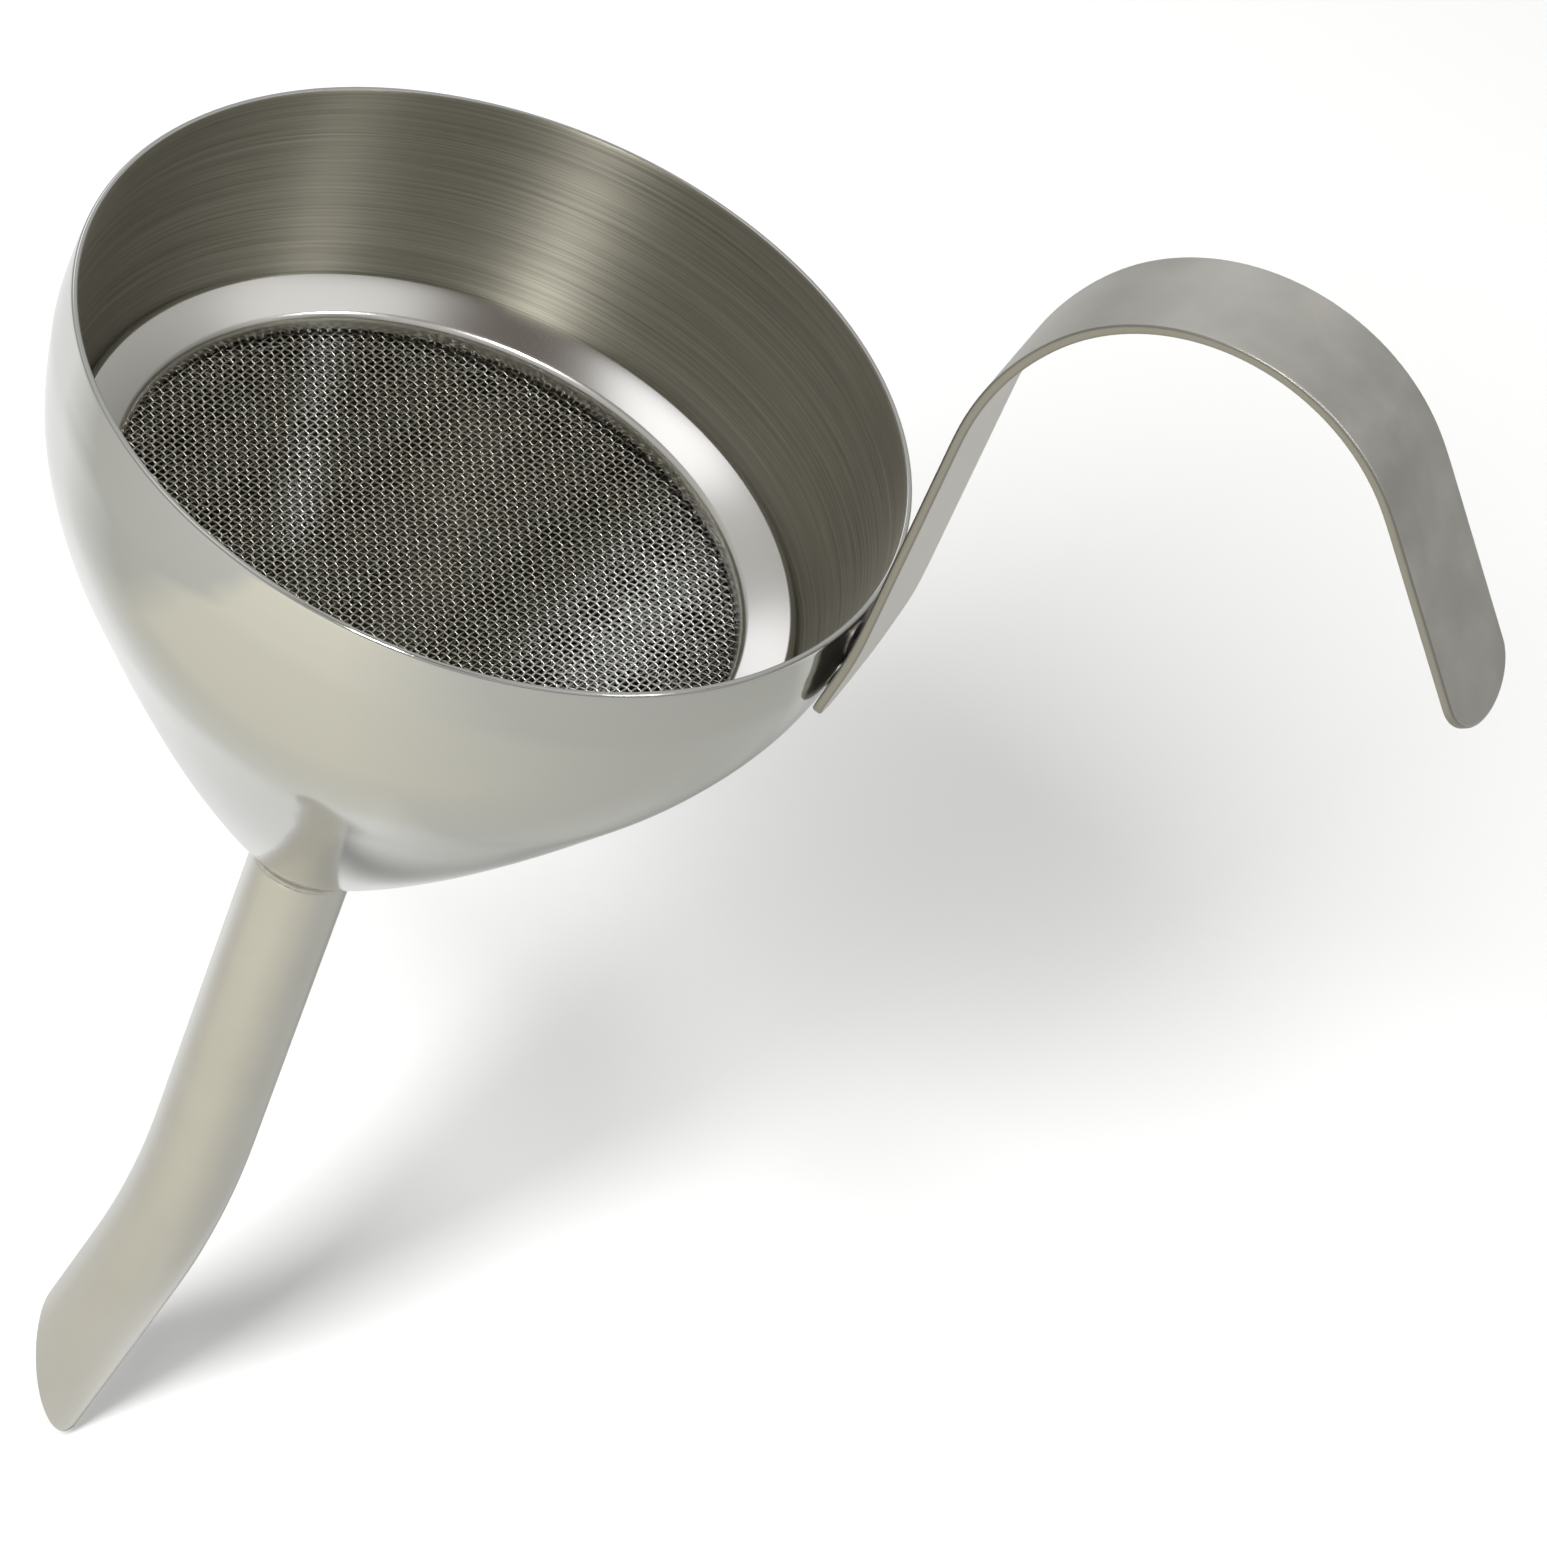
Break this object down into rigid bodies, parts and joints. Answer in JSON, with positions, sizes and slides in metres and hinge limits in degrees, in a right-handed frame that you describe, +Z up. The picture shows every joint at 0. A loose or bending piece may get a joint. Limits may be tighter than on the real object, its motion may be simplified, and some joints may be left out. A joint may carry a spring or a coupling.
{
  "type": "pouring funnel with sieve",
  "caption": "Steel pouring funnel with a bent spout, a flat hook handle and a loose drop-in sieve of woven wire in a pressed ring.",
  "frame": {"origin": "on the bowl's axis, 70 mm below the rim, at the girth of the bowl that rests in a decanter's neck", "axes": "+Z up along the bowl's axis to the rim, +X out towards the handle, the spout bends towards -X, +Y completes the frame and is normal to the symmetry plane"},
  "size_m": [0.1672, 0.1004, 0.2516],
  "materials": {
    "bowl_steel": "polished outside, turned and brushed inside",
    "tube_steel": "satin",
    "weld_steel": "tinted weld metal",
    "strap_steel": "satin",
    "ring_steel": "polished",
    "wire_cloth": "drawn wire, plain weave"
  },
  "bodies": {
    "funnel": {"funnel_bowl": "bowl_steel", "spout_tube": "tube_steel", "spout_weld_bead": "weld_steel", "handle_strap": "strap_steel", "handle_spot_weld_upper": "weld_steel", "handle_spot_weld_lower": "weld_steel"},
    "sieve": {"sieve_flange_ring": "ring_steel", "sieve_clamp_ring": "ring_steel", "sieve_mesh_upper": "wire_cloth", "sieve_mesh_lower": "wire_cloth"}
  },
  "joints": [
    {"name": "sieve_lift", "type": "slide", "parent": "funnel", "child": "sieve", "axis": [0, 0, 1], "range_m": [0, 0.1]}
  ]
}
